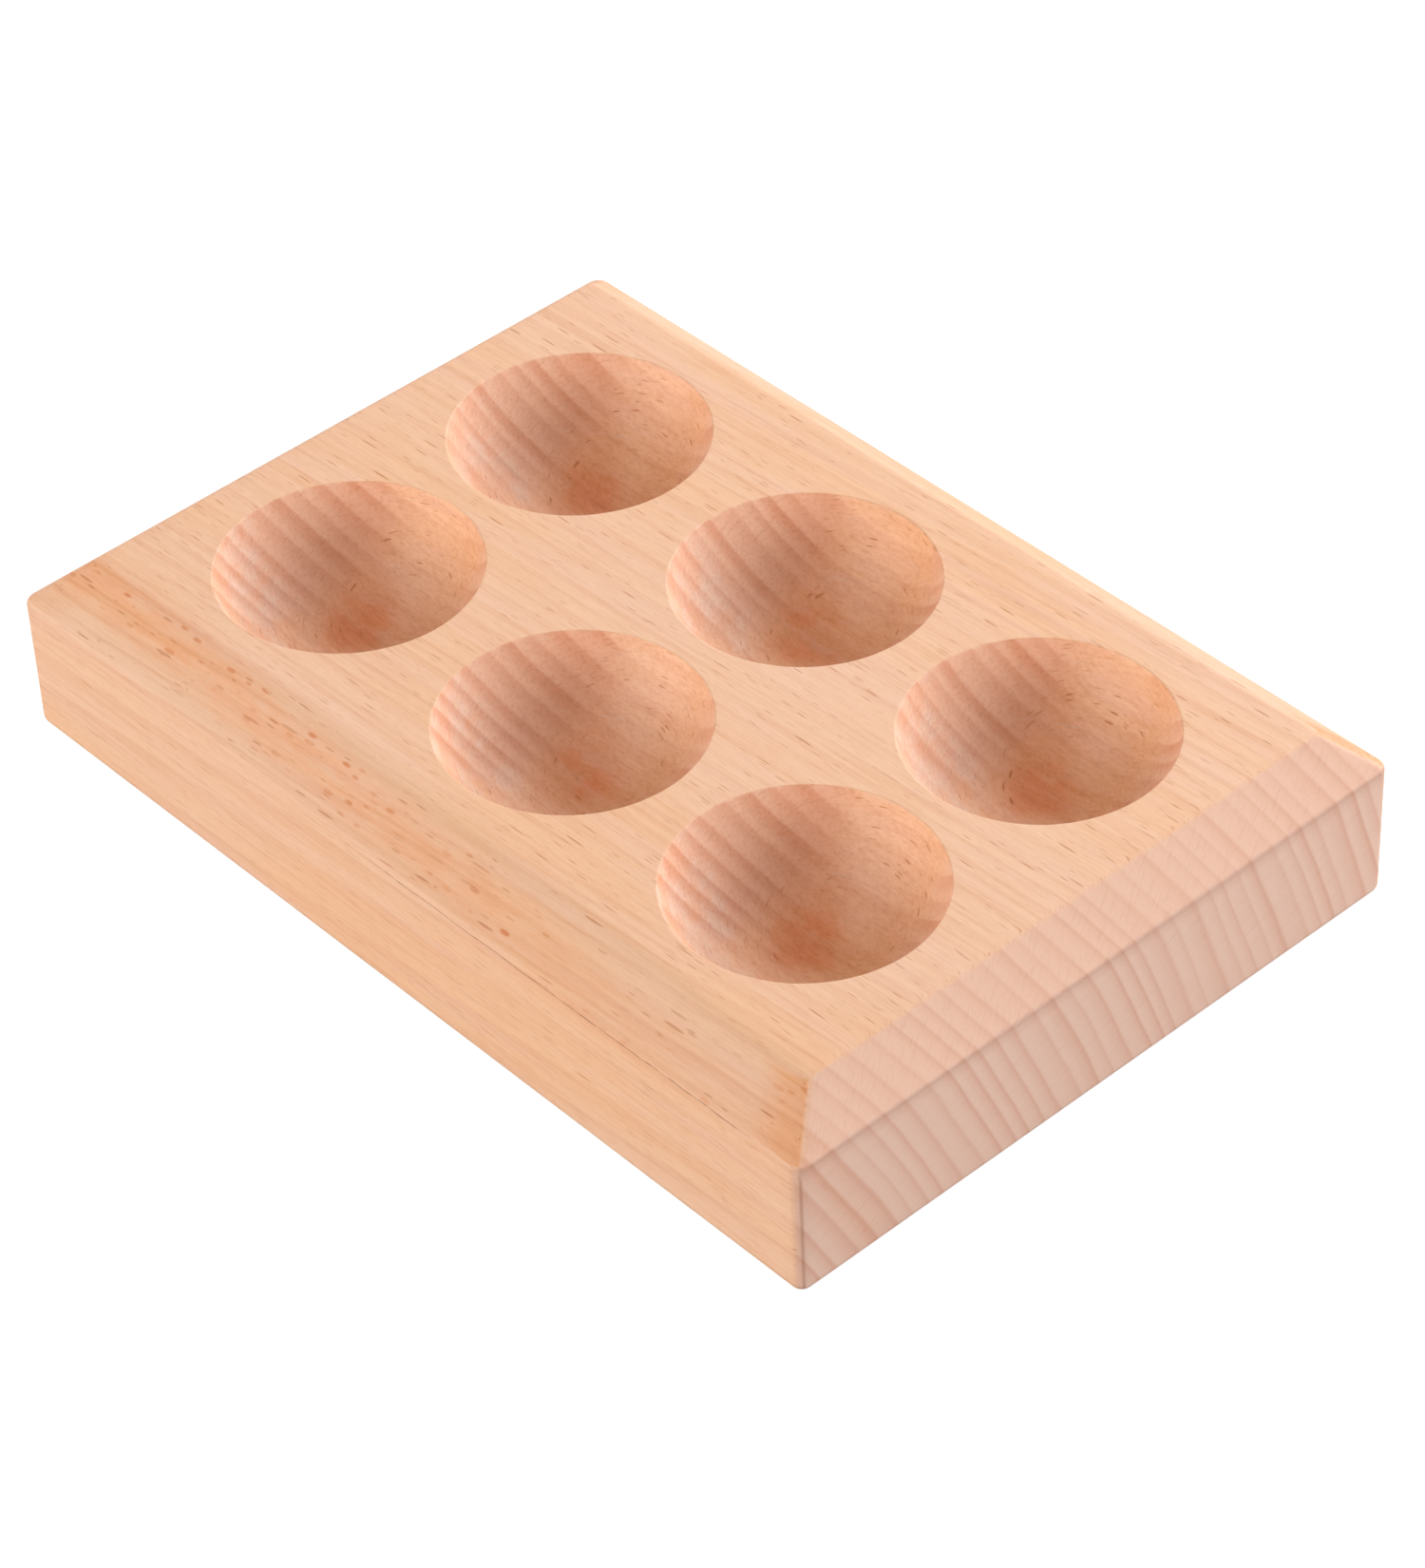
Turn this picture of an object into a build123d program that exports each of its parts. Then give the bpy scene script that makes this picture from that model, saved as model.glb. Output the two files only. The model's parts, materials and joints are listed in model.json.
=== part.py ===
from build123d import *
import os

# Egg holder tray for six eggs, cut from one solid beech board.
# Frame: X runs along the grain, Y across the board and Z up; the origin is at the middle
# of the underside. All sizes are in millimetres.

# the board
board_length = 190.0
board_width = 130.0
board_thickness = 34.0
corner_radius = 2.2          # upright corners, seen from above
bottom_round = 1.8           # edge between the sides and the underside

# the wide flat chamfer around the top
chamfer_drop = 7.5
chamfer_run_left = 8.2       # towards -X, across the end grain
chamfer_run_right = 8.2      # towards +X, across the end grain
chamfer_run_front = 10.2     # towards -Y
chamfer_run_back = 8.5       # towards +Y
crown_corner_radius = 1.6    # corners of the flat top face
sanded_edge = 0.4            # light sanding of the chamfer's upper and lower edges

# the six cups, each a part of a sphere
rim_radius = 22.8
cup_depth = 18.5
rim_round = 0.35             # sanding of the rim
column_pitch = 55.2
middle_column_shift = 1.0    # the middle pair of cups sits a little towards +X
row_pitch = 51.2

tiny = 0.01
sphere_radius = (rim_radius**2 + cup_depth**2) / (2 * cup_depth)
sphere_centre_height = board_thickness - cup_depth + sphere_radius
side_height = board_thickness - chamfer_drop


def lower_board():
    """Upright sides of the board, with a rounded bottom edge."""
    outline = RectangleRounded(board_length, board_width, corner_radius)
    block = extrude(outline, side_height)
    bottom_edges = block.faces().sort_by(Axis.Z)[0].edges()
    return fillet(bottom_edges, bottom_round)


def chamfered_crown():
    """Frustum between the upright sides and the flat top face."""
    top_length = board_length - chamfer_run_left - chamfer_run_right
    top_width = board_width - chamfer_run_front - chamfer_run_back
    shift_x = (chamfer_run_left - chamfer_run_right) / 2
    shift_y = (chamfer_run_front - chamfer_run_back) / 2
    base = Pos(0, 0, side_height) * RectangleRounded(board_length, board_width, corner_radius)
    top = Pos(shift_x, shift_y, board_thickness) * RectangleRounded(
        top_length, top_width, crown_corner_radius
    )
    return loft([base, top], ruled=True)


def cup_centres():
    """Middle of each cup seen from above: three columns along X, two rows along Y."""
    columns = (-column_pitch, middle_column_shift, column_pitch)
    rows = (-row_pitch / 2, row_pitch / 2)
    return [(x, y) for y in rows for x in columns]


def cup_cutters():
    """One ball for each cup."""
    return [Pos(x, y, sphere_centre_height) * Sphere(sphere_radius) for x, y in cup_centres()]


def is_crown_edge(edge):
    """True for the straight level edges above and below the chamfer."""
    height = edge.center().Z
    is_level = abs(edge.bounding_box().size.Z) < tiny
    at_chamfer = min(abs(height - side_height), abs(height - board_thickness)) < tiny
    return is_level and at_chamfer


def tray_board():
    """The whole tray: board, chamfer, cups and sanded edges."""
    blank = lower_board() + chamfered_crown()
    blank = fillet(blank.edges().filter_by(is_crown_edge), sanded_edge)
    board = blank - cup_cutters()
    rims = board.edges().filter_by(GeomType.CIRCLE).filter_by(
        lambda edge: abs(edge.radius - rim_radius) < tiny
    )
    return fillet(rims, rim_round)


os.makedirs("parts", exist_ok=True)
export_step(tray_board(), "parts/tray_board.step")
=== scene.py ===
import json
import math

import bmesh
import bpy
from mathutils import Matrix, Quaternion, Vector, noise


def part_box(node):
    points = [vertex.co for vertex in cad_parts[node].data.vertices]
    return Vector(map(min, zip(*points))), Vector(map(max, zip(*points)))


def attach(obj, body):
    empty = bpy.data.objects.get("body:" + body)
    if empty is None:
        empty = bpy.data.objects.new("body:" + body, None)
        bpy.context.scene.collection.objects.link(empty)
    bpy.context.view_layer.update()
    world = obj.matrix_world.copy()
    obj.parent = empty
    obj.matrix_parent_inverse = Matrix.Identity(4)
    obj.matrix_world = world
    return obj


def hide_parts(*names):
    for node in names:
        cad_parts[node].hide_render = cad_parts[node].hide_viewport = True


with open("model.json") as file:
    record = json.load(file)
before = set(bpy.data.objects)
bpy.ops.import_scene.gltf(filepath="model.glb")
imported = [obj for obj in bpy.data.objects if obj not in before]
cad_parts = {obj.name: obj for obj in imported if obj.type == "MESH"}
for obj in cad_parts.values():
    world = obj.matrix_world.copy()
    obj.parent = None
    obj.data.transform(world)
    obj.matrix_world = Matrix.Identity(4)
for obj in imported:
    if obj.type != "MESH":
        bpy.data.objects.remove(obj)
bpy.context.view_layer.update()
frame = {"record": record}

# Egg holder tray: one solid beech board with six round cups. This script builds the board again as a
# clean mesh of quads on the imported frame's sizes, gives it solid beech, and lights it in a studio.
# Sizes in the shape and wood parts are in millimetres in the frame's axes: X along the grain, Z up.

MM = 0.001

# ---------------------------------------------------------------- sizes
board_low, board_high = (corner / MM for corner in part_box("tray_board"))
top = board_high.z

# the wide chamfer round the top, and the small rounds of the edges
chamfer_drop = 7.5
chamfer_runs = {"left": 8.2, "right": 8.2, "front": 10.2, "back": 8.5}
crown_corner = 1.6          # corner radius of the flat top face
board_corner = 2.2          # corner radius of the upright corners
bottom_round = 1.8          # round between the sides and the underside

# how far the sanding reaches on each side of an edge, and how uneven it is
sanded_front_top = 2.0      # the front chamfer's upper edge
sanded_top = 1.0            # the other chamfers' upper edges
sanded_front_low = 0.8      # the front chamfer's lower edge
sanded_low = 0.6            # the other chamfers' lower edges
sanded_rim = 0.3            # a cup's rim
corner_reach = 1.2          # the upper edges are held back to this at the flat top's corners,
corner_reach_growth = 0.5   # and may grow by this much per millimetre away from them
edge_variation = 0.35       # share by which the reach along the chamfers wanders
rim_variation = 0.3         # and along a cup's rim
unevenness = 0.05           # how far hand sanding dips below the true surface

# over how many millimetres each of those wanders, and where in the noise it is read
top_edge_wander = (17, 3)
low_edge_wander = (14, 8)
rim_wander = (11, 5)
surface_wander = (23, 11)

# the cups are parts of spheres
rim_radius = 22.8
cup_depth = 18.5
sphere_radius = (rim_radius**2 + cup_depth**2) / (2 * cup_depth)
sphere_centre = top - cup_depth + sphere_radius
rim_angle = math.asin(rim_radius / sphere_radius)
rim_tangent_angle = 0.05    # radians below the rim of the point that the soft rim's curve aims at
wall_start_angle = 0.035    # radians below the rim where the true sphere starts

# how finely the mesh is divided: quads, and shares of the way across a surface
cell_side = 32              # quads along each side of a cup's cell of the flat top
arc_quads = 4               # quads in half of a corner's arc
wall_rings = 22
cap_angle = math.radians(22)    # the cup's bottom inside this angle is a grid, the wall above it rings
morph_steps = (0.012, 0.05, 0.13, 0.25, 0.4, 0.56, 0.72, 0.86, 0.95, 0.988)
chamfer_steps = (0.04, 0.14, 0.28, 0.42, 0.56, 0.7, 0.84, 0.96)
side_steps = (0.02, 0.1, 0.2, 0.3, 0.4, 0.5, 0.6, 0.7, 0.8, 0.9, 0.98)
edge_quads = 4
bottom_round_quads = 6

# how dark the painted shade line along the chamfer's lower edge is, at each loop of the mesh from the
# edge's start
lower_edge_marks = {1: 0.2, 2: 0.5, 3: 0.55, 4: 0.45, 5: 0.25}
front_edge_marks = {1: 0.1, 2: 0.24, 3: 0.24, 4: 0.1}
# and how dark the painted shade line down the upright corners is
upright_edge_mark = 0.8

# how strong the browned wood beside the chamfer's hips is, and how many quads it reaches and fades over
right_hip = 1.0
left_hip = 0.4
hip_quads = 8
hip_fade_quads = 3


def cup_centres():
    """Middle of each cup, seen from above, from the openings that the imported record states."""
    openings = frame["record"]["physics"]["openings"]
    boxes = [o["box_m"] for o in openings if o["name"].endswith("_cup")]
    return [((low[0] + high[0]) / 2 / MM, (low[1] + high[1]) / 2 / MM) for low, high in boxes]


cups = cup_centres()
cup_columns = sorted({round(x, 3) for x, y in cups})
cup_rows = sorted({round(y, 3) for x, y in cups})


# ---------------------------------------------------------------- shape
class Outline:
    """The board's outline at one height: a rectangle with round corners."""

    def __init__(self, low, high, radius):
        self.low = low
        self.high = high
        self.radius = radius

    def along(self, axis, index, count, shares):
        """Place on a side, from its first rounded corner's middle to its last one's: the distance
        along the side, the distance in from the side, and the turn away from the side's normal."""
        start = self.low[axis] + self.radius
        end = self.high[axis] - self.radius
        if index < arc_quads:
            turn = math.radians(45) * (arc_quads - index) / arc_quads
            return start - self.radius * math.sin(turn), self.radius * (1 - math.cos(turn)), -turn
        if index > count - arc_quads:
            turn = math.radians(45) * (index - count + arc_quads) / arc_quads
            return end + self.radius * math.sin(turn), self.radius * (1 - math.cos(turn)), turn
        return start + shares[axis][index] * (end - start), 0.0, 0.0

    def point(self, i, j, columns, rows, shares):
        """The outline's point and outward normal at the border place (i, j) of the board's grid."""
        if j == 0 or j == rows:
            x, inset, turn = self.along(0, i, columns, shares)
            side = -1 if j == 0 else 1
            y = self.low[1] + inset if j == 0 else self.high[1] - inset
            return Vector((x, y, 0)), Vector((math.sin(turn), side * math.cos(turn), 0))
        y, inset, turn = self.along(1, j, rows, shares)
        side = -1 if i == 0 else 1
        x = self.low[0] + inset if i == 0 else self.high[0] - inset
        return Vector((x, y, 0)), Vector((side * math.cos(turn), math.sin(turn), 0))


crown_low = (board_low.x + chamfer_runs["left"], board_low.y + chamfer_runs["front"])
crown_high = (board_high.x - chamfer_runs["right"], board_high.y - chamfer_runs["back"])
crown = Outline(crown_low, crown_high, crown_corner)
body = Outline(board_low.xy, board_high.xy, board_corner)

cell_x = [crown_low[0]] + [(a + b) / 2 for a, b in zip(cup_columns, cup_columns[1:])] + [crown_high[0]]
cell_y = [crown_low[1]] + [(a + b) / 2 for a, b in zip(cup_rows, cup_rows[1:])] + [crown_high[1]]
columns = cell_side * (len(cell_x) - 1)
rows = cell_side * (len(cell_y) - 1)


def straight_shares(lines, count, radius):
    """How far each of a side's points is along its straight part, so that cells keep their borders."""
    stops = [(arc_quads, lines[0] + radius)]
    stops += [(cell_side * k, line) for k, line in enumerate(lines[1:-1], 1)]
    stops += [(count - arc_quads, lines[-1] - radius)]
    length = stops[-1][1] - stops[0][1]
    shares = {}
    for (first, start), (last, end) in zip(stops, stops[1:]):
        for index in range(first, last + 1):
            place = start + (end - start) * (index - first) / (last - first)
            shares[index] = (place - stops[0][1]) / length
    return shares


shares = (straight_shares(cell_x, columns, crown_corner), straight_shares(cell_y, rows, crown_corner))
border = [(i, 0) for i in range(columns)]
border += [(columns, j) for j in range(rows)]
border += [(i, rows) for i in range(columns, 0, -1)]
border += [(0, j) for j in range(rows, 0, -1)]


def wander(place, size, seed):
    """A smooth random value from -1 to 1 that changes over about size millimetres."""
    return noise.noise(Vector(place) / size + Vector((seed, 0, 0)))


def rounded(before, corner, after, reach, steps):
    """Points of a soft edge that starts and ends reach away from corner, towards before and after."""
    start = corner + (before - corner).normalized() * reach
    end = corner + (after - corner).normalized() * reach
    points = []
    for k in range(steps + 1):
        t = k / steps
        points.append(start * (1 - t) ** 2 + corner * 2 * t * (1 - t) + end * t * t)
    return points


def section(i, j):
    """The board's profile at one border place, from the flat top down and in under the bottom round."""
    crown_point = crown.point(i, j, columns, rows, shares)[0]
    side_point, outward = body.point(i, j, columns, rows, shares)
    crown_edge = crown_point + Vector((0, 0, top))
    side_edge = side_point + Vector((0, 0, top - chamfer_drop))
    foot = side_point.copy()
    front_share = max(0.0, -outward.y)**2
    top_reach = sanded_top + (sanded_front_top - sanded_top) * front_share
    top_reach *= 1 + edge_variation * wander(crown_edge, *top_edge_wander)
    middle_x = (crown_low[0] + crown_high[0]) / 2
    half_straight = (crown_high[0] - crown_low[0]) / 2 - crown_corner
    past_corner = max(0.0, half_straight - abs(crown_edge.x - middle_x))
    top_reach = min(top_reach, corner_reach + corner_reach_growth * past_corner)
    low_reach = sanded_low + (sanded_front_low - sanded_low) * front_share
    low_reach *= 1 + edge_variation * wander(side_edge, *low_edge_wander)
    points = rounded(crown_edge - outward, crown_edge, side_edge, top_reach, edge_quads)
    upper = points[-1]
    lower_edge = rounded(crown_edge, side_edge, foot, low_reach, edge_quads)
    points += [upper.lerp(lower_edge[0], t) for t in chamfer_steps]
    points += lower_edge
    start = foot + Vector((0, 0, bottom_round))
    points += [lower_edge[-1].lerp(start, t) for t in side_steps]
    for k in range(bottom_round_quads + 1):
        turn = math.radians(90) * k / bottom_round_quads
        inward = bottom_round * (1 - math.cos(turn))
        height = bottom_round * (1 - math.sin(turn))
        points.append(side_point - outward * inward + Vector((0, 0, height)))
    return points


def between(lines, index):
    """Place of a grid index between the cell lines, evenly spread inside each cell."""
    cell = min(index // cell_side, len(lines) - 2)
    share = index / cell_side - cell
    return lines[cell] * (1 - share) + lines[cell + 1] * share


def top_point(i, j, sections):
    """A point of the lines that part the flat top into one cell for each cup."""
    if i in (0, columns) or j in (0, rows):
        return sections[(i, j)][0]
    left, right = sections[(0, j)][0].x, sections[(columns, j)][0].x
    front, back = sections[(i, 0)][0].y, sections[(i, rows)][0].y
    lines_x = [left] + cell_x[1:-1] + [right]
    lines_y = [front] + cell_y[1:-1] + [back]
    return Vector((between(lines_x, i), between(lines_y, j), top))


class BoardMesh:
    """Gathers the board's points and quads, with what the wood needs to know at each point."""

    def __init__(self):
        self.mesh = bmesh.new()
        self.found = {}
        self.turned = self.mesh.verts.layers.float_vector.new("turned")
        self.inside = self.mesh.verts.layers.float.new("inside_cup")
        self.edge = self.mesh.verts.layers.float.new("edge")
        self.hip = self.mesh.verts.layers.float.new("hip")

    def vertex(self, point, turned=None, edge=0.0, hip=0.0):
        """The vertex at a point, made when there is none there yet. Only a cup's wall is turned."""
        key = tuple(round(value, 4) for value in point)
        if key not in self.found:
            made = self.mesh.verts.new(point)
            if turned is not None:
                made[self.turned] = turned
                made[self.inside] = 1.0
            made[self.edge] = edge
            made[self.hip] = hip
            self.found[key] = made
        return self.found[key]

    def strip(self, upper, lower):
        """Quads between two closed loops of vertices."""
        for k in range(len(upper)):
            n = (k + 1) % len(upper)
            self.mesh.faces.new((upper[k], lower[k], lower[n], upper[n]))

    def grid(self, lines, flip):
        """Quads over rows of vertices."""
        for low, high in zip(lines, lines[1:]):
            for k in range(len(low) - 1):
                quad = (low[k], low[k + 1], high[k + 1], high[k])
                self.mesh.faces.new(quad[::-1] if flip else quad)


def on_sphere(centre, polar, heading):
    """A point of a cup's wall and its place for tool marks: heading, and travel up from the bottom."""
    ring = sphere_radius * math.sin(polar)
    height = sphere_centre - sphere_radius * math.cos(polar)
    point = Vector((centre[0] + ring * math.cos(heading), centre[1] + ring * math.sin(heading), height))
    return point, Vector((math.cos(heading), math.sin(heading), sphere_radius * polar))


def disc(u, v):
    """Square to disc: the share of the radius and the heading of a grid place from -1 to 1."""
    if u == 0 and v == 0:
        return 0.0, 0.0
    if abs(u) > abs(v):
        turn = math.pi / 4 * v / u
        return abs(u), turn if u > 0 else turn + math.pi
    turn = math.pi / 2 - math.pi / 4 * u / v
    return abs(v), turn if v > 0 else turn + math.pi


def add_cup(board, centre, cell, sections):
    """One cell of the flat top, with its rim, its spherical wall and the cap at the cup's bottom."""
    i0, j0 = cell[0] * cell_side, cell[1] * cell_side
    i1, j1 = i0 + cell_side, j0 + cell_side
    places = [(i, j0) for i in range(i0, i1)]
    places += [(i1, j) for j in range(j0, j1)]
    places += [(i, j1) for i in range(i1, i0, -1)]
    places += [(i0, j) for j in range(j1, j0, -1)]
    outline = [top_point(i, j, sections) for i, j in places]
    headings = [math.radians(225) + 2 * math.pi * k / len(places) for k in range(len(places))]

    loop = [board.vertex(point) for point in outline]
    rims = []
    for heading in headings:
        edge = Vector((centre[0] + rim_radius * math.cos(heading),
                       centre[1] + rim_radius * math.sin(heading), top))
        outside = edge + Vector((math.cos(heading), math.sin(heading), 0))
        below = on_sphere(centre, rim_angle - rim_tangent_angle, heading)[0]
        reach = sanded_rim * (1 + rim_variation * wander(edge, *rim_wander))
        rims.append(rounded(outside, edge, below, reach, edge_quads))
    for step in reversed(morph_steps):
        inner = [board.vertex(rim[0].lerp(point, step)) for rim, point in zip(rims, outline)]
        board.strip(loop, inner)
        loop = inner
    travel = rim_angle * sphere_radius
    for k in range(edge_quads + 1):
        inner = [board.vertex(rim[k], Vector((math.cos(h), math.sin(h), travel)) if k > 1 else None)
                 for rim, h in zip(rims, headings)]
        board.strip(loop, inner)
        loop = inner
    first = rim_angle - wall_start_angle
    for k in range(wall_rings + 1):
        polar = first + (cap_angle - first) * k / wall_rings
        inner = [board.vertex(*on_sphere(centre, polar, heading)) for heading in headings]
        board.strip(loop, inner)
        loop = inner
    lines = []
    for b in range(cell_side + 1):
        line = []
        for a in range(cell_side + 1):
            share, heading = disc(2 * a / cell_side - 1, 2 * b / cell_side - 1)
            line.append(board.vertex(*on_sphere(centre, share * cap_angle, heading)))
        lines.append(line)
    board.grid(lines, flip=False)


def underside_point(i, j, sections):
    """The flat underside's grid, spread between the inner ends of the bottom round."""
    front, back = sections[(i, 0)][-1], sections[(i, rows)][-1]
    left, right = sections[(0, j)][-1], sections[(columns, j)][-1]
    s, t = i / columns, j / rows
    corners = [sections[(a, b)][-1] for a, b in ((0, 0), (columns, 0), (0, rows), (columns, rows))]
    flat = corners[0] * (1 - s) * (1 - t) + corners[1] * s * (1 - t)
    flat += corners[2] * (1 - s) * t + corners[3] * s * t
    return front * (1 - t) + back * t + left * (1 - s) + right * s - flat


# places in a section, counted from the top
chamfer_start = edge_quads
lower_edge_start = chamfer_start + 1 + len(chamfer_steps)
side_start = lower_edge_start + edge_quads


def from_corner(i, j):
    """Steps along a long side from the nearest upright corner, or None on the short sides."""
    return min(i, columns - i) if j in (0, rows) else None


def edge_mark(depth, i, j):
    """How dark the painted shade line at an edge is: the chamfer's lower edge at the ends and in front, and
    upright corners.
    """
    if j not in (0, rows):
        below = depth - lower_edge_start
        if below in lower_edge_marks:
            return lower_edge_marks[below]
        if depth >= side_start and min(j, rows - j) == 1:
            return upright_edge_mark
    elif j == 0:
        return front_edge_marks.get(depth - lower_edge_start, 0.0)
    return 0.0


def hip_mark(depth, i, j):
    """How strongly sanding has browned the wood of the long sides beside the chamfer's hips."""
    steps = from_corner(i, j)
    if steps is None or not chamfer_start <= depth <= lower_edge_start:
        return 0.0
    strength = right_hip if i > columns / 2 else left_hip
    return strength * max(0.0, min(1.0, (hip_quads - steps) / hip_fade_quads))


def build_board():
    """The whole board as one closed mesh of quads."""
    sections = {place: section(*place) for place in border}
    board = BoardMesh()
    for centre in cups:
        cell = (cup_columns.index(round(centre[0], 3)), cup_rows.index(round(centre[1], 3)))
        add_cup(board, centre, cell, sections)
    loops = []
    for depth, points in enumerate(zip(*(sections[place] for place in border))):
        loops.append([board.vertex(point, edge=edge_mark(depth, *place), hip=hip_mark(depth, *place))
                      for point, place in zip(points, border)])
    for upper, lower in zip(loops, loops[1:]):
        board.strip(upper, lower)
    lines = [[board.vertex(sections[(i, j)][-1] if (i, j) in sections else underside_point(i, j, sections))
              for i in range(columns + 1)] for j in range(rows + 1)]
    board.grid(lines, flip=True)

    mesh = board.mesh
    bmesh.ops.recalc_face_normals(mesh, faces=mesh.faces)
    mesh.normal_update()
    dips = [unevenness * max(0.0, 0.5 + 0.5 * wander(v.co, *surface_wander)) for v in mesh.verts]
    for v, dip in zip(mesh.verts, dips):
        v.co -= v.normal * dip
    bmesh.ops.scale(mesh, vec=(MM, MM, MM), verts=mesh.verts)
    data = bpy.data.meshes.new("beech_tray_board")
    mesh.to_mesh(data)
    mesh.free()
    data.shade_smooth()
    piece = bpy.data.objects.new("beech_tray_board", data)
    bpy.context.scene.collection.objects.link(piece)
    return piece


# ---------------------------------------------------------------- beech
class Graph:
    """Short calls for shader nodes. All but node() give back the new node's output."""

    def __init__(self, material):
        material.use_nodes = True
        self.tree = material.node_tree
        self.tree.nodes.clear()

    def node(self, kind, inputs=(), **settings):
        made = self.tree.nodes.new("ShaderNode" + kind)
        for name, value in settings.items():
            setattr(made, name, value)
        for name, value in dict(inputs).items():
            if isinstance(value, bpy.types.NodeSocket):
                self.tree.links.new(value, made.inputs[name])
            else:
                made.inputs[name].default_value = value
        return made

    def calc(self, operation, *values):
        return self.node("Math", enumerate(values), operation=operation).outputs[0]

    def vector(self, operation, *values):
        made = self.node("VectorMath", enumerate(values), operation=operation)
        return made.outputs["Value" if operation in ("LENGTH", "DOT_PRODUCT") else "Vector"]

    def combine(self, x, y, z):
        return self.node("CombineXYZ", {"X": x, "Y": y, "Z": z}).outputs[0]

    def noise(self, place, detail=2.0, roughness=0.5):
        inputs = {"Vector": place, "Scale": 1.0, "Detail": detail, "Roughness": roughness}
        return self.node("TexNoise", inputs).outputs[0]

    def spread(self, value, low, high, to_low=0.0, to_high=1.0):
        """Smooth step: value from low to high becomes to_low to to_high."""
        inputs = {"Value": value, "From Min": low, "From Max": high, "To Min": to_low, "To Max": to_high}
        return self.node("MapRange", inputs, interpolation_type="SMOOTHSTEP").outputs["Result"]

    def mix(self, factor, first, second, kind="MIX"):
        made = self.node("Mix", data_type="RGBA", blend_type=kind)
        for socket, value in zip((0, 6, 7), (factor, first, second)):
            if isinstance(value, bpy.types.NodeSocket):
                self.tree.links.new(value, made.inputs[socket])
            else:
                made.inputs[socket].default_value = value
        return made.outputs[2]


# the tree that the board was sawn from: its pith runs along X, below and in front of the board
pith_y = -296.0
pith_z = -107.0
grain_drift = 0.04          # the rings climb outwards by this much per unit of X
mean_radius = 320.0         # from the pith to the middle of the board
swirl_depth = 2.2           # how far the rings swirl
ring_width = 3.45
ring_variation = 1.2        # how far rings wander from an even spacing, in rings
late_wood = (0.1, 0.7)      # shares of a ring over which its dark band comes in,
ring_line = (0.58, 0.84)    # its thin line comes in,
ring_end = (0.8, 1.0)       # and both end
faintest_year = 0.4
rings_on_long_grain = 0.35
rings_on_end_grain = (0.66, 0.9)    # cut at a slant, and cut square
rings_in_cups = 1.12
ray_normal = (0.0, -0.39, 0.92)    # straight out of the ray plates

# flecks: size along the grain, round the tree and outwards, share of places without one, and seed
small_flecks = ((4.4, 0.27, 0.75), 0.5, 0.0)
large_flecks = ((7.8, 0.34, 0.9), 0.64, 31.7)
dark_spots = ((4.4, 1.5, 1.5), 0.05, 12.4)
ray_plates = ((3.6, 0.36, 3.2), 0.35, 52.9)
fleck_reach = (0.14, 0.36)  # from the smallest to the largest, as shares of that size
fleck_softness = 0.16
faintest_fleck = 0.25

# how much of the flecks shows
small_shown = 0.7
large_shown = 0.9
lost_in_cups = 0.7
flecks_on_end_grain = 0.15
plates_on_end_grain = 0.4
plates_seen_flat = 0.2

# the figure's other sizes: along the grain, round the tree and outwards
fine_ray = (1.7, 0.3, 8.0)
fibre = (8.0, 0.3, 0.3)
streak = (42.0, 1.0, 1.0)
stripe = (60.0, 3.2, 3.2)

# how often slower changes come per millimetre in X, Y and Z
swirl_rate = (0.009, 0.035, 0.035)
cloud_rate = (0.012, 0.05, 0.05)
pore_rate = (0.7, 1.6, 1.6)
reddish_patch_rate = (0.11, 0.17, 0.17)
sheen_patch_rate = (0.1, 0.2, 0.2)

# a surface shows end grain where its normal's X is large: it starts, is all there, and is cut square
end_grain_start = 0.34
end_grain_full = 0.66
slanted_cut = 0.72
square_cut = 0.97

# the orange band is a layer at this distance from the pith that comes out on the front chamfer
ember_radius = 270.5
ember_drift = -0.05
ember_wobble = 5.0
ember_core = 0.5            # distances from its middle where it starts and ends to fade
ember_reach = 7.0

# the check along the front chamfer's lower edge
check_height = 25.6         # above the underside, at the board's middle
check_slope = 0.0082
check_wobble = 0.5
check_core = 0.05           # half its width, without and with its soft edge
check_reach = 0.16
check_start = (-14.0, 6.0)  # fades in and out over these stretches of X
check_end = (78.0, 88.0)

# in each cup painted shade falls where the surface leans this way, but not across it: a darker band, and
# reddish patches near the bottom
core_side = (0.71, -0.71, 0.0)
core_flank = (0.71, 0.71, 0.0)

# tones of the wood, as shares of light reflected in red, green and blue
light_wood = (0.975, 0.620, 0.415, 1)
warm_wood = (0.975, 0.590, 0.360, 1)
pink_wood = (0.975, 0.610, 0.435, 1)
slanted_end_wood = (0.93, 0.585, 0.435, 1)    # end grain that is cut at a slant
end_wood = (0.98, 0.665, 0.530, 1)
cup_end_wood = (0.95, 0.605, 0.440, 1)
pale_marks_and_sheen = (0.95, 0.73, 0.61, 1)                  # pale tool marks, and painted sheen on the cups' walls

# stains, and painted shade in the cups and along edges, that multiply those tones
ring_stain = (0.87, 0.70, 0.62, 1)
fleck_stain = (0.74, 0.52, 0.39, 1)
ray_stain = (0.86, 0.78, 0.74, 1)
fibre_stain = (0.95, 0.88, 0.83, 1)
streak_stain = (0.95, 0.88, 0.83, 1)
pore_stain = (0.92, 0.84, 0.78, 1)
ember_stain = (0.99, 0.83, 0.71, 1)
spot_stain = (0.84, 0.51, 0.32, 1)
hip_stain = (0.96, 0.80, 0.64, 1)
# painted shade: reddish patches near the bottom of each cup's shaded side
painted_reddish_shade = (1.0, 0.82, 0.74, 1)
# painted shade: the cups' steeper walls a touch darker
painted_wall_shade = (0.98, 0.99, 0.98, 1)
# painted shade: the cups' walls that face -X darker and more orange
painted_right_wall_shade = (0.95, 0.90, 0.84, 1)
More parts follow.
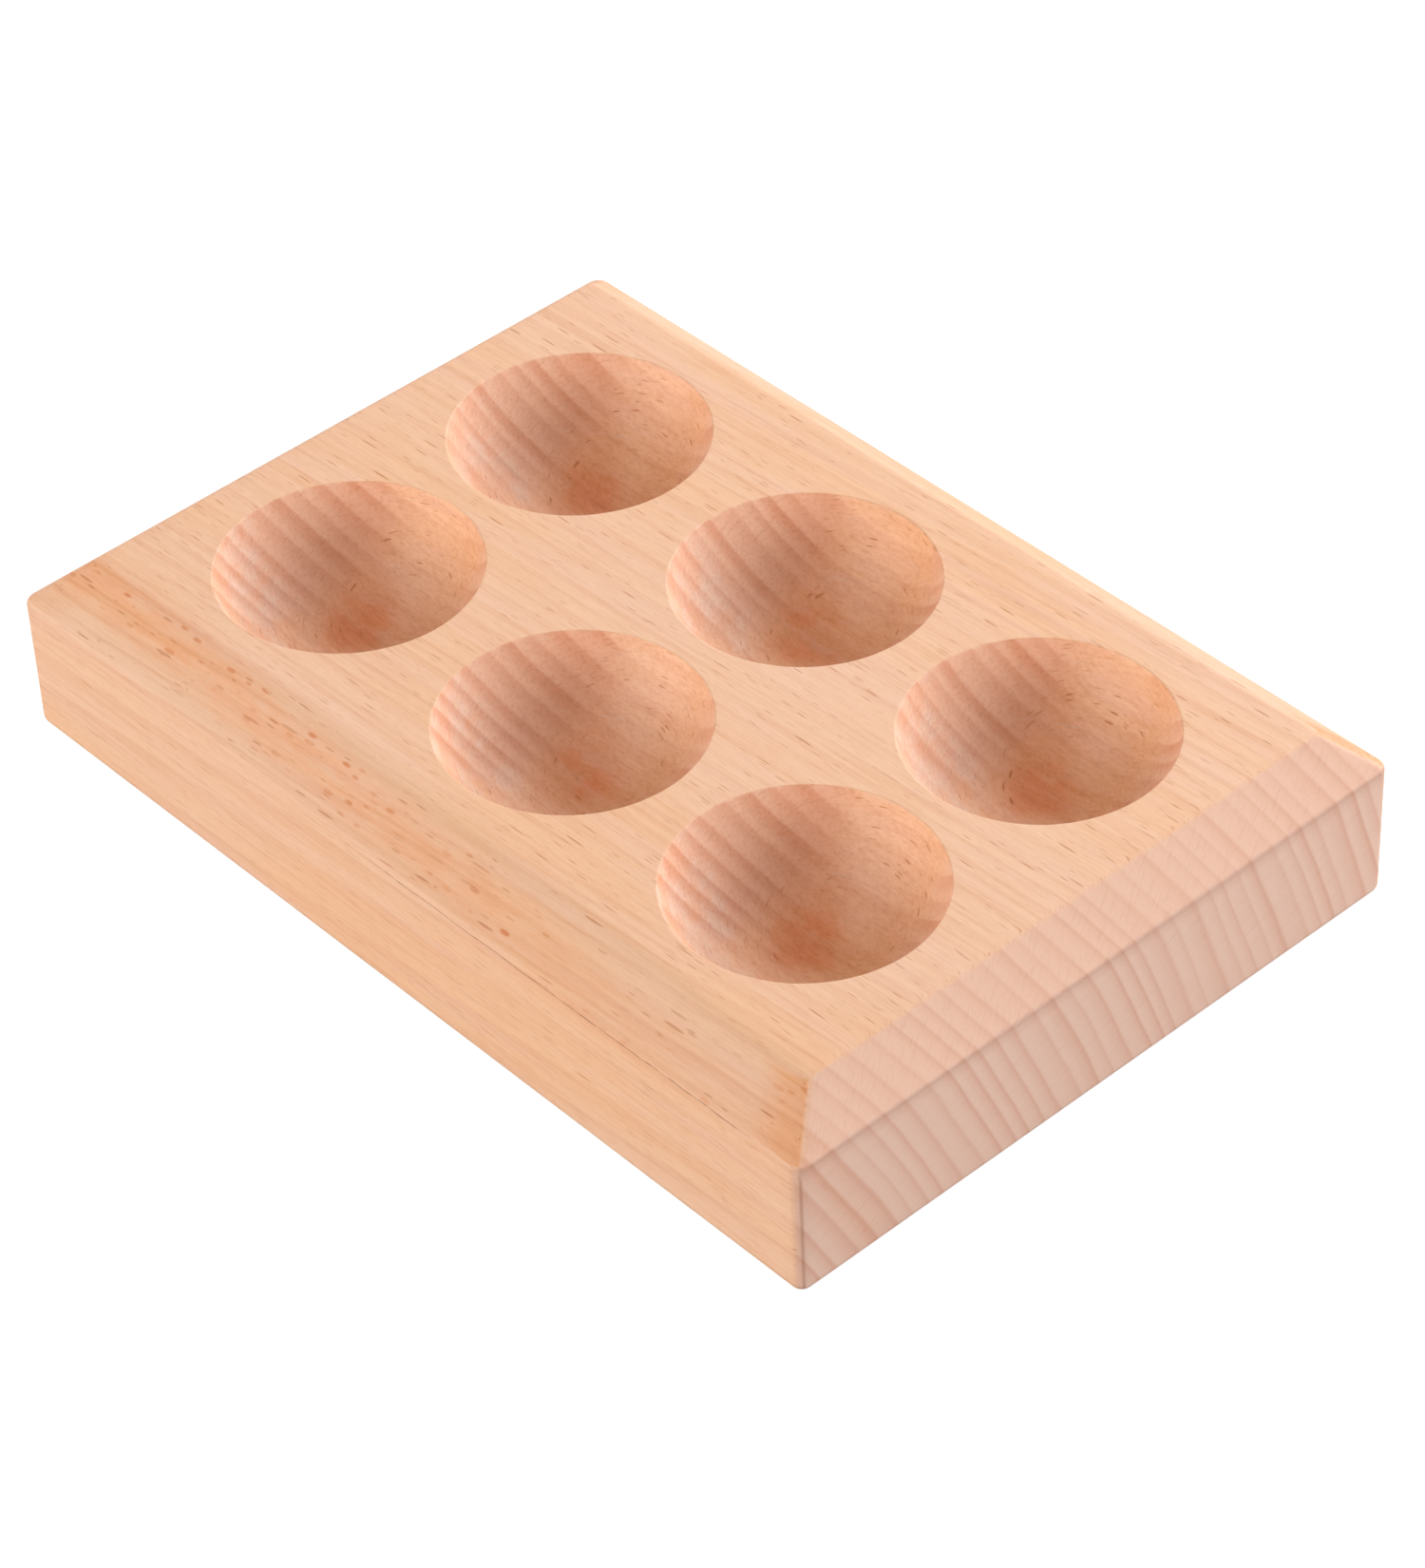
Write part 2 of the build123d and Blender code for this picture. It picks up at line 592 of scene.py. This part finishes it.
# painted shade: the darker reddish band on each cup's shaded side
painted_shade_band = (0.95, 0.87, 0.82, 1)
# painted shade lines along the chamfer's lower edge and the upright corners
painted_edge_shade = (0.70, 0.56, 0.50, 1)
check_stain = (0.50, 0.40, 0.34, 1)

# the relief, in shares of the bump's distance, and the sheen
ray_relief = 0.4
fibre_relief = 0.5
fleck_dent = 0.4
check_dent = 1.5
arc_dent = 0.7
bump_strength = 0.3
bump_distance = 0.00006     # metres
wood_roughness = (0.46, 0.6)
worn_edge_polish = 0.08
shine = 0.35


class Beech:
    """Solid beech, evaluated in the board's own space so that every cut face shows the same tree."""

    def __init__(self, material):
        self.g = g = Graph(material)
        coordinates = g.node("TexCoord")
        self.normal = coordinates.outputs["Normal"]
        self.place = g.vector("SCALE", coordinates.outputs["Object"])
        self.place.node.inputs["Scale"].default_value = 1 / MM
        self.x, self.y, self.z = g.node("SeparateXYZ", {"Vector": self.place}).outputs
        self.normal_x, self.normal_y, self.normal_z = g.node("SeparateXYZ", {"Vector": self.normal}).outputs
        self.facing = g.calc("ABSOLUTE", self.normal_x)
        self.end_grain = g.spread(self.facing, end_grain_start, end_grain_full)
        self.long_grain = g.calc("SUBTRACT", 1.0, self.end_grain)
        self.inside_cup = g.node("Attribute", attribute_name="inside_cup").outputs["Fac"]
        self.turned = g.node("Attribute", attribute_name="turned").outputs["Vector"]
        self.edge = g.node("Attribute", attribute_name="edge").outputs["Fac"]
        self.hip = g.node("Attribute", attribute_name="hip").outputs["Fac"]
        self.find_tree()
        self.fine_rays = self.figure(fine_ray, detail=1.0)
        self.fibres = self.figure(fibre, detail=3.0, roughness=0.65)
        self.arcs = g.calc("MULTIPLY", self.tool_marks(), self.inside_cup)
        self.fleck = self.all_flecks()
        self.check = self.fine_check()
        base = self.stained(self.plain_tone())
        self.finish(base)

    def find_tree(self):
        """The tree's own coordinates: outwards from the pith, round it, and x along the grain."""
        g = self.g
        from_y = g.calc("SUBTRACT", self.y, pith_y)
        from_z = g.calc("SUBTRACT", self.z, pith_z)
        self.radius = g.vector("LENGTH", g.combine(0.0, from_y, from_z))
        out = g.calc("SUBTRACT", self.radius, g.calc("MULTIPLY", self.x, grain_drift))
        self.out = g.calc("MULTIPLY_ADD", self.slow(swirl_rate), swirl_depth, out)
        self.round_it = g.calc("MULTIPLY", g.calc("ARCTAN2", from_z, from_y), mean_radius)

    def slow(self, rate, detail=2.0, roughness=0.5):
        """A slow change through the board, rate times per millimetre in X, Y and Z."""
        g = self.g
        return g.noise(g.vector("MULTIPLY", self.place, rate), detail=detail, roughness=roughness)

    def figure(self, size, detail=2.0, roughness=0.5):
        """A noise in the tree's coordinates, as large as size."""
        g = self.g
        place = g.combine(g.calc("DIVIDE", self.x, size[0]), g.calc("DIVIDE", self.round_it, size[1]),
                          g.calc("DIVIDE", self.out, size[2]))
        return g.noise(place, detail=detail, roughness=roughness)

    def along_grain(self, rate, seed_y, seed_z, detail=2.0):
        """A noise that changes only along the grain."""
        g = self.g
        return g.noise(g.combine(g.calc("MULTIPLY", self.x, rate), seed_y, seed_z), detail=detail)

    def flecks(self, size, chosen_from, seed):
        """Thin lens-shaped plates in the tree's coordinates, in the cells chosen from a share up."""
        g = self.g
        place = g.combine(g.calc("DIVIDE", self.x, size[0]), g.calc("DIVIDE", self.round_it, size[1]),
                          g.calc("MULTIPLY_ADD", self.out, 1 / size[2], seed))
        cells = g.node("TexVoronoi", {"Vector": place, "Scale": 1.0, "Randomness": 1.0}, feature="F1")
        chosen = g.node("SeparateColor", {"Color": cells.outputs["Color"]})
        reach = g.spread(chosen.outputs["Red"], chosen_from, 1.0, *fleck_reach)
        lens_shape = g.spread(g.calc("SUBTRACT", reach, cells.outputs["Distance"]), 0.0, fleck_softness)
        shown = g.spread(chosen.outputs["Red"], chosen_from, chosen_from + 0.02)
        strength = g.spread(chosen.outputs["Green"], 0.0, 1.0, faintest_fleck, 1.0)
        return g.calc("MULTIPLY", g.calc("MULTIPLY", lens_shape, shown), strength)

    def all_flecks(self):
        """Ray flecks: small and large ones outside the cups, and mostly ray plates inside them."""
        g = self.g
        small = self.flecks(*small_flecks)
        large = self.flecks(*large_flecks)
        plates = self.flecks(*ray_plates)
        small = g.calc("MULTIPLY", small, small_shown)
        fleck = g.calc("MAXIMUM", small, g.calc("MULTIPLY", large, large_shown))
        fleck = g.calc("MULTIPLY", fleck, g.calc("MULTIPLY_ADD", self.inside_cup, -lost_in_cups, 1.0))
        fleck = g.calc("MULTIPLY", fleck, g.spread(self.end_grain, 0.0, 1.0, 1.0, flecks_on_end_grain))
        across = g.calc("ABSOLUTE", g.vector("DOT_PRODUCT", self.normal, ray_normal))
        plates = g.calc("MULTIPLY", plates, g.spread(across, 0.9, 0.98, 1.0, plates_seen_flat))
        plates = g.calc("MULTIPLY", plates, g.spread(self.end_grain, 0.0, 1.0, 1.0, plates_on_end_grain))
        return g.calc("MAXIMUM", fleck, g.calc("MULTIPLY", plates, self.inside_cup))

    def growth_rings(self):
        """Broad dark bands and the thin lines that end them; no two are equally wide or strong."""
        g = self.g
        drift = g.noise(g.combine(g.calc("MULTIPLY", self.out, 0.16), 3.0, 7.3), detail=1.0)
        phase = g.calc("MULTIPLY_ADD", drift, ring_variation, g.calc("DIVIDE", self.out, ring_width))
        within = g.calc("FRACT", phase)
        year = g.node("TexWhiteNoise", {"W": g.calc("FLOOR", phase)}, noise_dimensions="1D")
        year = g.calc("MULTIPLY_ADD", year.outputs["Value"], 1.0 - faintest_year, faintest_year)
        end = g.spread(within, *ring_end, 1.0, 0.0)
        late = g.calc("MULTIPLY", g.calc("MULTIPLY", g.spread(within, *late_wood), end), year)
        line = g.calc("MULTIPLY", g.calc("MULTIPLY", g.spread(within, *ring_line), end), year)
        line_share = g.calc("MULTIPLY_ADD", self.inside_cup, -0.4, 0.5)
        ring = g.calc("MULTIPLY_ADD", g.calc("SUBTRACT", line, late), line_share, late)
        in_cup = g.calc("MULTIPLY", self.inside_cup, rings_in_cups)
        on_end = g.spread(self.facing, slanted_cut, square_cut, *rings_on_end_grain)
        more = g.calc("SUBTRACT", g.calc("MAXIMUM", on_end, in_cup), rings_on_long_grain)
        shown = g.calc("MULTIPLY_ADD", self.end_grain, more, rings_on_long_grain)
        return g.calc("MULTIPLY", ring, shown)

    def ember_band(self):
        """The orange band on the front chamfer: high at the left, low and fainter at the right."""
        g = self.g
        wobble = g.calc("MULTIPLY_ADD", self.along_grain(0.05, 2.0, 6.0), ember_wobble, ember_radius)
        middle = g.calc("MULTIPLY_ADD", self.x, ember_drift, wobble)
        away = g.calc("ABSOLUTE", g.calc("SUBTRACT", self.radius, middle))
        patch = g.combine(g.calc("MULTIPLY", self.x, 0.12), g.calc("MULTIPLY", self.radius, 0.7), 1.0)
        patches = g.spread(g.noise(patch, detail=3.0), 0.3, 0.62, 0.35, 1.0)
        fading = g.calc("MULTIPLY", g.spread(self.x, -20.0, 80.0, 1.0, 0.4), patches)
        return g.calc("MULTIPLY", g.spread(away, ember_core, ember_reach, 1.0, 0.0), fading)

    def fine_check(self):
        """The fine dark check that follows the front chamfer's lower edge over the right half."""
        g = self.g
        line = g.calc("MULTIPLY_ADD", self.x, check_slope, check_height)
        line = g.calc("MULTIPLY_ADD", self.along_grain(0.13, 4.0, 0.0), check_wobble, line)
        away = g.calc("ABSOLUTE", g.calc("SUBTRACT", self.z, line))
        patchy = g.spread(self.along_grain(0.3, 9.0, 0.0), 0.35, 0.65, 0.35, 1.0)
        along = g.calc("MULTIPLY", g.spread(self.x, *check_start), g.spread(self.x, *check_end, 1.0, 0.0))
        check = g.calc("MULTIPLY", g.spread(away, check_core, check_reach, 1.0, 0.0), along)
        front = g.calc("LESS_THAN", self.y, board_low.y + 1.0)
        return g.calc("MULTIPLY", g.calc("MULTIPLY", check, patchy), front)

    def tool_marks(self):
        """Faint arcs that the cutter left round a cup: long round the cup and fine up its wall."""
        g = self.g
        arcs = g.noise(g.vector("MULTIPLY", self.turned, (1.3, 1.3, 3.2)), detail=2.0, roughness=0.6)
        patches = g.noise(g.vector("MULTIPLY", self.turned, (2.2, 2.2, 0.15)), detail=1.0)
        return g.calc("MULTIPLY", g.spread(arcs, 0.5, 0.75), g.spread(patches, 0.4, 0.65))

    def tool_marks_and_painted_sheen(self):
        """Pale tool marks on the cups' walls, and painted sheen in pale patches on the walls that face +Y.
        """
        g = self.g
        # painted sheen: pale patches on the cups' walls that face +Y, away from the bottom
        marks_and_sheen = g.spread(self.slow(sheen_patch_rate, detail=3.0), 0.4, 0.62, 0.0, 0.7)
        shown = g.calc("MULTIPLY", self.inside_cup, g.spread(self.normal_y, -0.1, 0.3))
        marks_and_sheen = g.calc("MULTIPLY_ADD", self.arcs, 0.65, g.calc("MULTIPLY", marks_and_sheen, shown))
        return g.calc("MULTIPLY", marks_and_sheen, g.spread(self.normal_z, 0.96, 0.85))

    def plain_tone(self):
        """The wood's own tone: light, warm and pink on the long grain, and paler on the end grain, with
        pale tool marks and painted sheen in the cups.
        """
        g = self.g
        end_tone = g.mix(g.spread(self.facing, slanted_cut, square_cut), slanted_end_wood, end_wood)
        end_tone = g.mix(self.inside_cup, end_tone, cup_end_wood)
        base = g.mix(g.spread(self.slow(cloud_rate), 0.35, 0.65), light_wood, warm_wood)
        base = g.mix(g.spread(self.figure(stripe), 0.45, 0.7, 0.0, 0.6), base, pink_wood)
        base = g.mix(self.end_grain, base, end_tone)
        return g.mix(self.tool_marks_and_painted_sheen(), base, pale_marks_and_sheen)

    def stained(self, base):
        """The tone under the rings, rays, fibres, spots and stains that darken it, and under painted shade
        in the cups and along edges.
        """
        g = self.g
        streaks = g.spread(self.figure(streak), 0.45, 0.75)
        fibres = g.spread(self.fibres, 0.42, 0.75)
        rays = g.spread(self.fine_rays, 0.5, 0.8, 0.0, 0.35)
        pores = g.spread(self.slow(pore_rate, detail=3.0, roughness=0.75), 0.42, 0.7)
        ember = self.ember_band()
        spotted = g.calc("MAXIMUM", g.spread(ember, 0.15, 0.5), g.calc("MULTIPLY", self.hip, 0.8))
        stains = [
            (self.growth_rings(), ring_stain),
            (g.calc("MULTIPLY", streaks, self.long_grain), streak_stain),
            (g.calc("MULTIPLY", fibres, self.long_grain), fibre_stain),
            (g.calc("MULTIPLY", rays, self.end_grain), ray_stain),
            (g.calc("MULTIPLY", pores, g.calc("MULTIPLY_ADD", self.inside_cup, 0.75, 0.25)), pore_stain),
            (ember, ember_stain),
            (g.calc("MULTIPLY", self.flecks(*dark_spots), spotted), spot_stain),
            (self.fleck, fleck_stain),
            *self.painted_cup_shade(),
            (self.hip, hip_stain),
            # painted shade lines along the edges
            (self.edge, painted_edge_shade),
            (self.check, check_stain),
        ]
        for strength, tint in stains:
            base = g.mix(strength, base, tint, "MULTIPLY")
        return base

    def painted_cup_shade(self):
        """Painted shade of the cups only: reddish patches near the bottom, darker walls, a darker orange
        wall facing -X, and a darker band on the shaded side.
        """
        g = self.g
        # painted shade: a darker band down each cup's wall on its shaded side, tinted as by bounced light
        along = g.vector("DOT_PRODUCT", self.normal, core_side)
        aside = g.calc("ABSOLUTE", g.vector("DOT_PRODUCT", self.normal, core_flank))
        core = g.calc("MULTIPLY", g.spread(along, -0.05, 0.15), g.spread(aside, 0.08, 0.4, 1.0, 0.0))
        # painted shade: reddish patches near the bottom on the cup's shaded side, tinted as by bounced
        # light
        reddish_patches = g.spread(self.slow(reddish_patch_rate, detail=3.0), 0.4, 0.56)
        reddish_patches = g.calc("MULTIPLY", reddish_patches, g.spread(along, -0.1, 0.08))
        reddish_patches = g.calc("MULTIPLY", reddish_patches, g.spread(aside, 0.1, 0.35, 1.0, 0.0))
        reddish_patches = g.calc("MULTIPLY", reddish_patches, g.spread(self.normal_z, 0.84, 0.94))
        # painted shade: the steeper walls slightly darker, most where they face -Y
        wall = g.spread(self.normal_z, 0.98, 0.6, 0.3, 1.0)
        wall = g.calc("MULTIPLY", wall, g.spread(self.normal_y, 0.3, -0.3, 0.2, 1.0))
        # painted shade: the walls that face -X tinted darker and more orange
        right_wall = g.spread(self.normal_x, 0.05, -0.35)
        found = ((reddish_patches, painted_reddish_shade), (wall, painted_wall_shade), (right_wall, painted_right_wall_shade), (core, painted_shade_band))
        return [(g.calc("MULTIPLY", strength, self.inside_cup), tint) for strength, tint in found]

    def finish(self, base):
        """The surface: fine relief from the rays, fibres, flecks and tool marks, and a soft sheen."""
        g = self.g
        height = g.calc("MULTIPLY", self.fibres, fibre_relief)
        height = g.calc("MULTIPLY_ADD", self.fine_rays, ray_relief, height)
        for strength, depth in ((self.fleck, fleck_dent), (self.check, check_dent), (self.arcs, arc_dent)):
            height = g.calc("SUBTRACT", height, g.calc("MULTIPLY", strength, depth))
        bump = g.node("Bump", {"Height": height, "Strength": bump_strength, "Distance": bump_distance})
        roughness = g.spread(self.fibres, 0.2, 0.8, *wood_roughness)
        roughness = g.calc("SUBTRACT", roughness, g.calc("MULTIPLY", self.edge, worn_edge_polish))
        surface = g.node("BsdfPrincipled", {
            "Base Color": base,
            "Roughness": roughness,
            "Specular IOR Level": shine,
            "Normal": bump.outputs[0],
        })
        output = g.node("OutputMaterial")
        g.tree.links.new(surface.outputs[0], output.inputs["Surface"])


# ---------------------------------------------------------------- studio, in metres and degrees
stage_radius = 8
paper_shade = 0.3
floor_glow = 0.9
bounce_depth = 0.0002
dome_glow = 1.0
world_glow = 0.05

box_distance = 1.3
wide_box = 0.9
narrow_box = 0.5

# the photograph's view: azimuth, elevation and roll, and the point it looks at
view_turn = (49.207, 41.015, -2.728)
view_target = (0.02827, -0.02022, top * MM)
view_distance = 0.8323
lens = 121.22
sensor_width = 36


def paper(name, shade, glow):
    """Plain white matt paper that also glows a little, so that shadows on it stay faint."""
    material = bpy.data.materials.new(name)
    g = Graph(material)
    surface = g.node("BsdfPrincipled", {
        "Base Color": (shade, shade, shade, 1),
        "Roughness": 0.9,
        "Emission Color": (1, 1, 1, 1),
        "Emission Strength": glow,
    })
    output = g.node("OutputMaterial")
    g.tree.links.new(surface.outputs[0], output.inputs["Surface"])
    return material


def stage_piece(name, data, material):
    """A part of the studio that isn't part of the tray."""
    piece = bpy.data.objects.new(name, data)
    data.materials.append(material)
    bpy.context.scene.collection.objects.link(piece)
    return piece


def floor_disc(name, height, shade, glow):
    """A round sheet of paper under the tray."""
    ground = bmesh.new()
    bmesh.ops.create_circle(ground, cap_ends=True, segments=64, radius=stage_radius)
    bmesh.ops.translate(ground, vec=(0, 0, height), verts=ground.verts)
    data = bpy.data.meshes.new(name)
    ground.to_mesh(data)
    ground.free()
    return stage_piece(name, data, paper(name + "_paper", shade, glow))


def studio():
    """A plain white floor under a white dome, and below it the dimmer sheet that lights the tray."""
    floor = floor_disc("floor", 0.0, paper_shade, floor_glow)
    floor.visible_diffuse = False
    floor.visible_glossy = False
    floor.visible_shadow = False
    bounce = floor_disc("bounce", -bounce_depth, paper_shade, 0.0)
    bounce.visible_camera = False

    shell = bmesh.new()
    bmesh.ops.create_uvsphere(shell, u_segments=64, v_segments=32, radius=stage_radius)
    data = bpy.data.meshes.new("backdrop")
    shell.to_mesh(data)
    shell.free()
    dome = stage_piece("backdrop", data, paper("backdrop_paper", 0.0, dome_glow))
    dome.visible_diffuse = False
    dome.visible_glossy = False
    dome.visible_shadow = False

    world = bpy.data.worlds.new("studio")
    bpy.context.scene.world = world
    world.use_nodes = True
    background = world.node_tree.nodes["Background"]
    background.inputs["Color"].default_value = (1, 1, 1, 1)
    background.inputs["Strength"].default_value = world_glow


def heading_from_tray(azimuth, elevation):
    """Unit vector away from the tray; azimuth 0 is in front of it (-Y) and 90 degrees to its right."""
    level = math.cos(elevation)
    return Vector((math.sin(azimuth) * level, -math.cos(azimuth) * level, math.sin(elevation)))


def soft_light(name, azimuth, elevation, power, size):
    """A square soft box aimed at the tray, which stands at the given azimuth and elevation."""
    data = bpy.data.lights.new(name, "AREA")
    data.size = size
    data.energy = power
    light = bpy.data.objects.new(name, data)
    away = heading_from_tray(math.radians(azimuth), math.radians(elevation))
    light.location = away * box_distance
    light.rotation_mode = "QUATERNION"
    light.rotation_quaternion = away.to_track_quat("Z", "Y")
    bpy.context.scene.collection.objects.link(light)


def camera():
    """The view over the board's near right corner, with a slight roll."""
    azimuth, elevation, roll = (math.radians(value) for value in view_turn)
    back = heading_from_tray(azimuth, elevation)
    data = bpy.data.cameras.new("camera")
    data.sensor_width = sensor_width
    data.lens = lens
    data.clip_start = 0.05
    eye = bpy.data.objects.new("camera", data)
    eye.location = Vector(view_target) + back * view_distance
    eye.rotation_mode = "QUATERNION"
    eye.rotation_quaternion = back.to_track_quat("Z", "Y") @ Quaternion((0, 0, 1), roll)
    bpy.context.scene.collection.objects.link(eye)
    bpy.context.scene.camera = eye


tray = build_board()
wood = bpy.data.materials.new("solid_beech")
Beech(wood)
tray.data.materials.append(wood)
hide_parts("tray_board")
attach(tray, "root")

studio()
soft_light("front_left_box", -18, 25, 7.0, wide_box)
soft_light("front_left_low_box", -36, 10, 2.5, narrow_box)
soft_light("front_low_box", 0, 10, 4.2, narrow_box)
soft_light("front_high_box", 0, 42, 2.5, wide_box)
soft_light("right_low_box", 108, 10, 7.7, narrow_box)
soft_light("right_back_box", 135, 42, 2.3, wide_box)
soft_light("back_right_box", 162, 25, 4.6, wide_box)
soft_light("back_box", 180, 42, 2.6, wide_box)
soft_light("back_left_box", -162, 25, 10.0, wide_box)
soft_light("left_back_box", -126, 25, 2.3, wide_box)
camera()
bpy.context.scene.view_settings.view_transform = "Standard"
